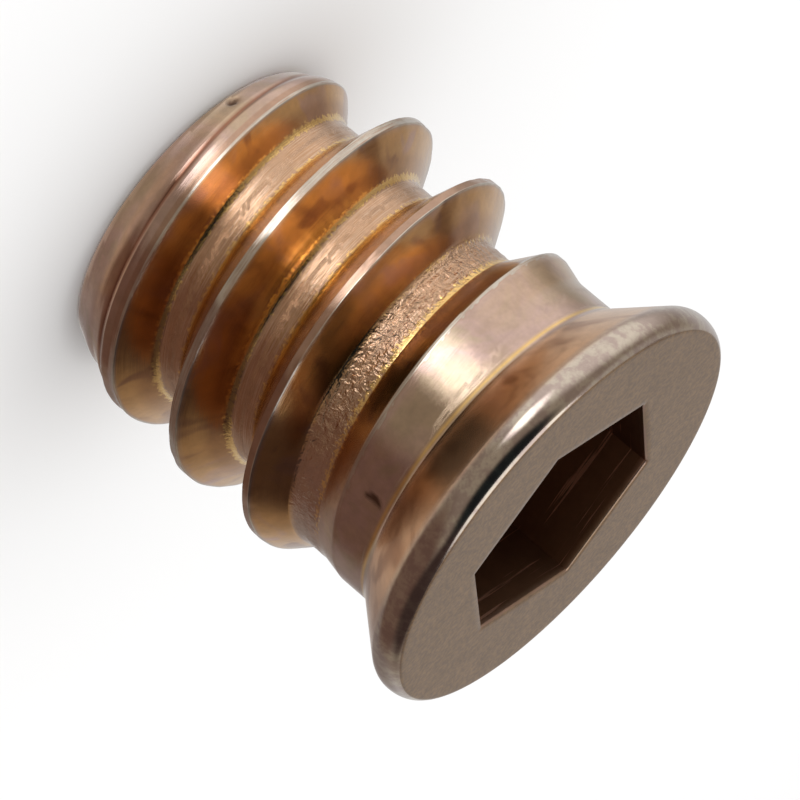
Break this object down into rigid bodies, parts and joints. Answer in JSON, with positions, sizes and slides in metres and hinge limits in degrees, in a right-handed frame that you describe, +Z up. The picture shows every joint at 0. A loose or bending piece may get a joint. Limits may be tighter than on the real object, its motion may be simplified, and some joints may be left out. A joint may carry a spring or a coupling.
{
  "type": "threaded insert for wood",
  "caption": "Flanged screw-in bush for wood with a coarse rolled thread outside, a metric threaded bore and a hexagon drive socket in its countersunk flange.",
  "frame": {"origin": "centre of the tip face, on the surface that the insert stands on", "axes": "+Z up along the bore, from the tip to the flange face; -Y faces a corner of the hexagon socket"},
  "size_m": [0.0124, 0.0124, 0.013],
  "materials": {
    "passivated_steel": "bronze-gold yellow passivation over bright zinc, satin on the flange face"
  },
  "bodies": {
    "root": {"insert": "passivated_steel"}
  },
  "joints": []
}
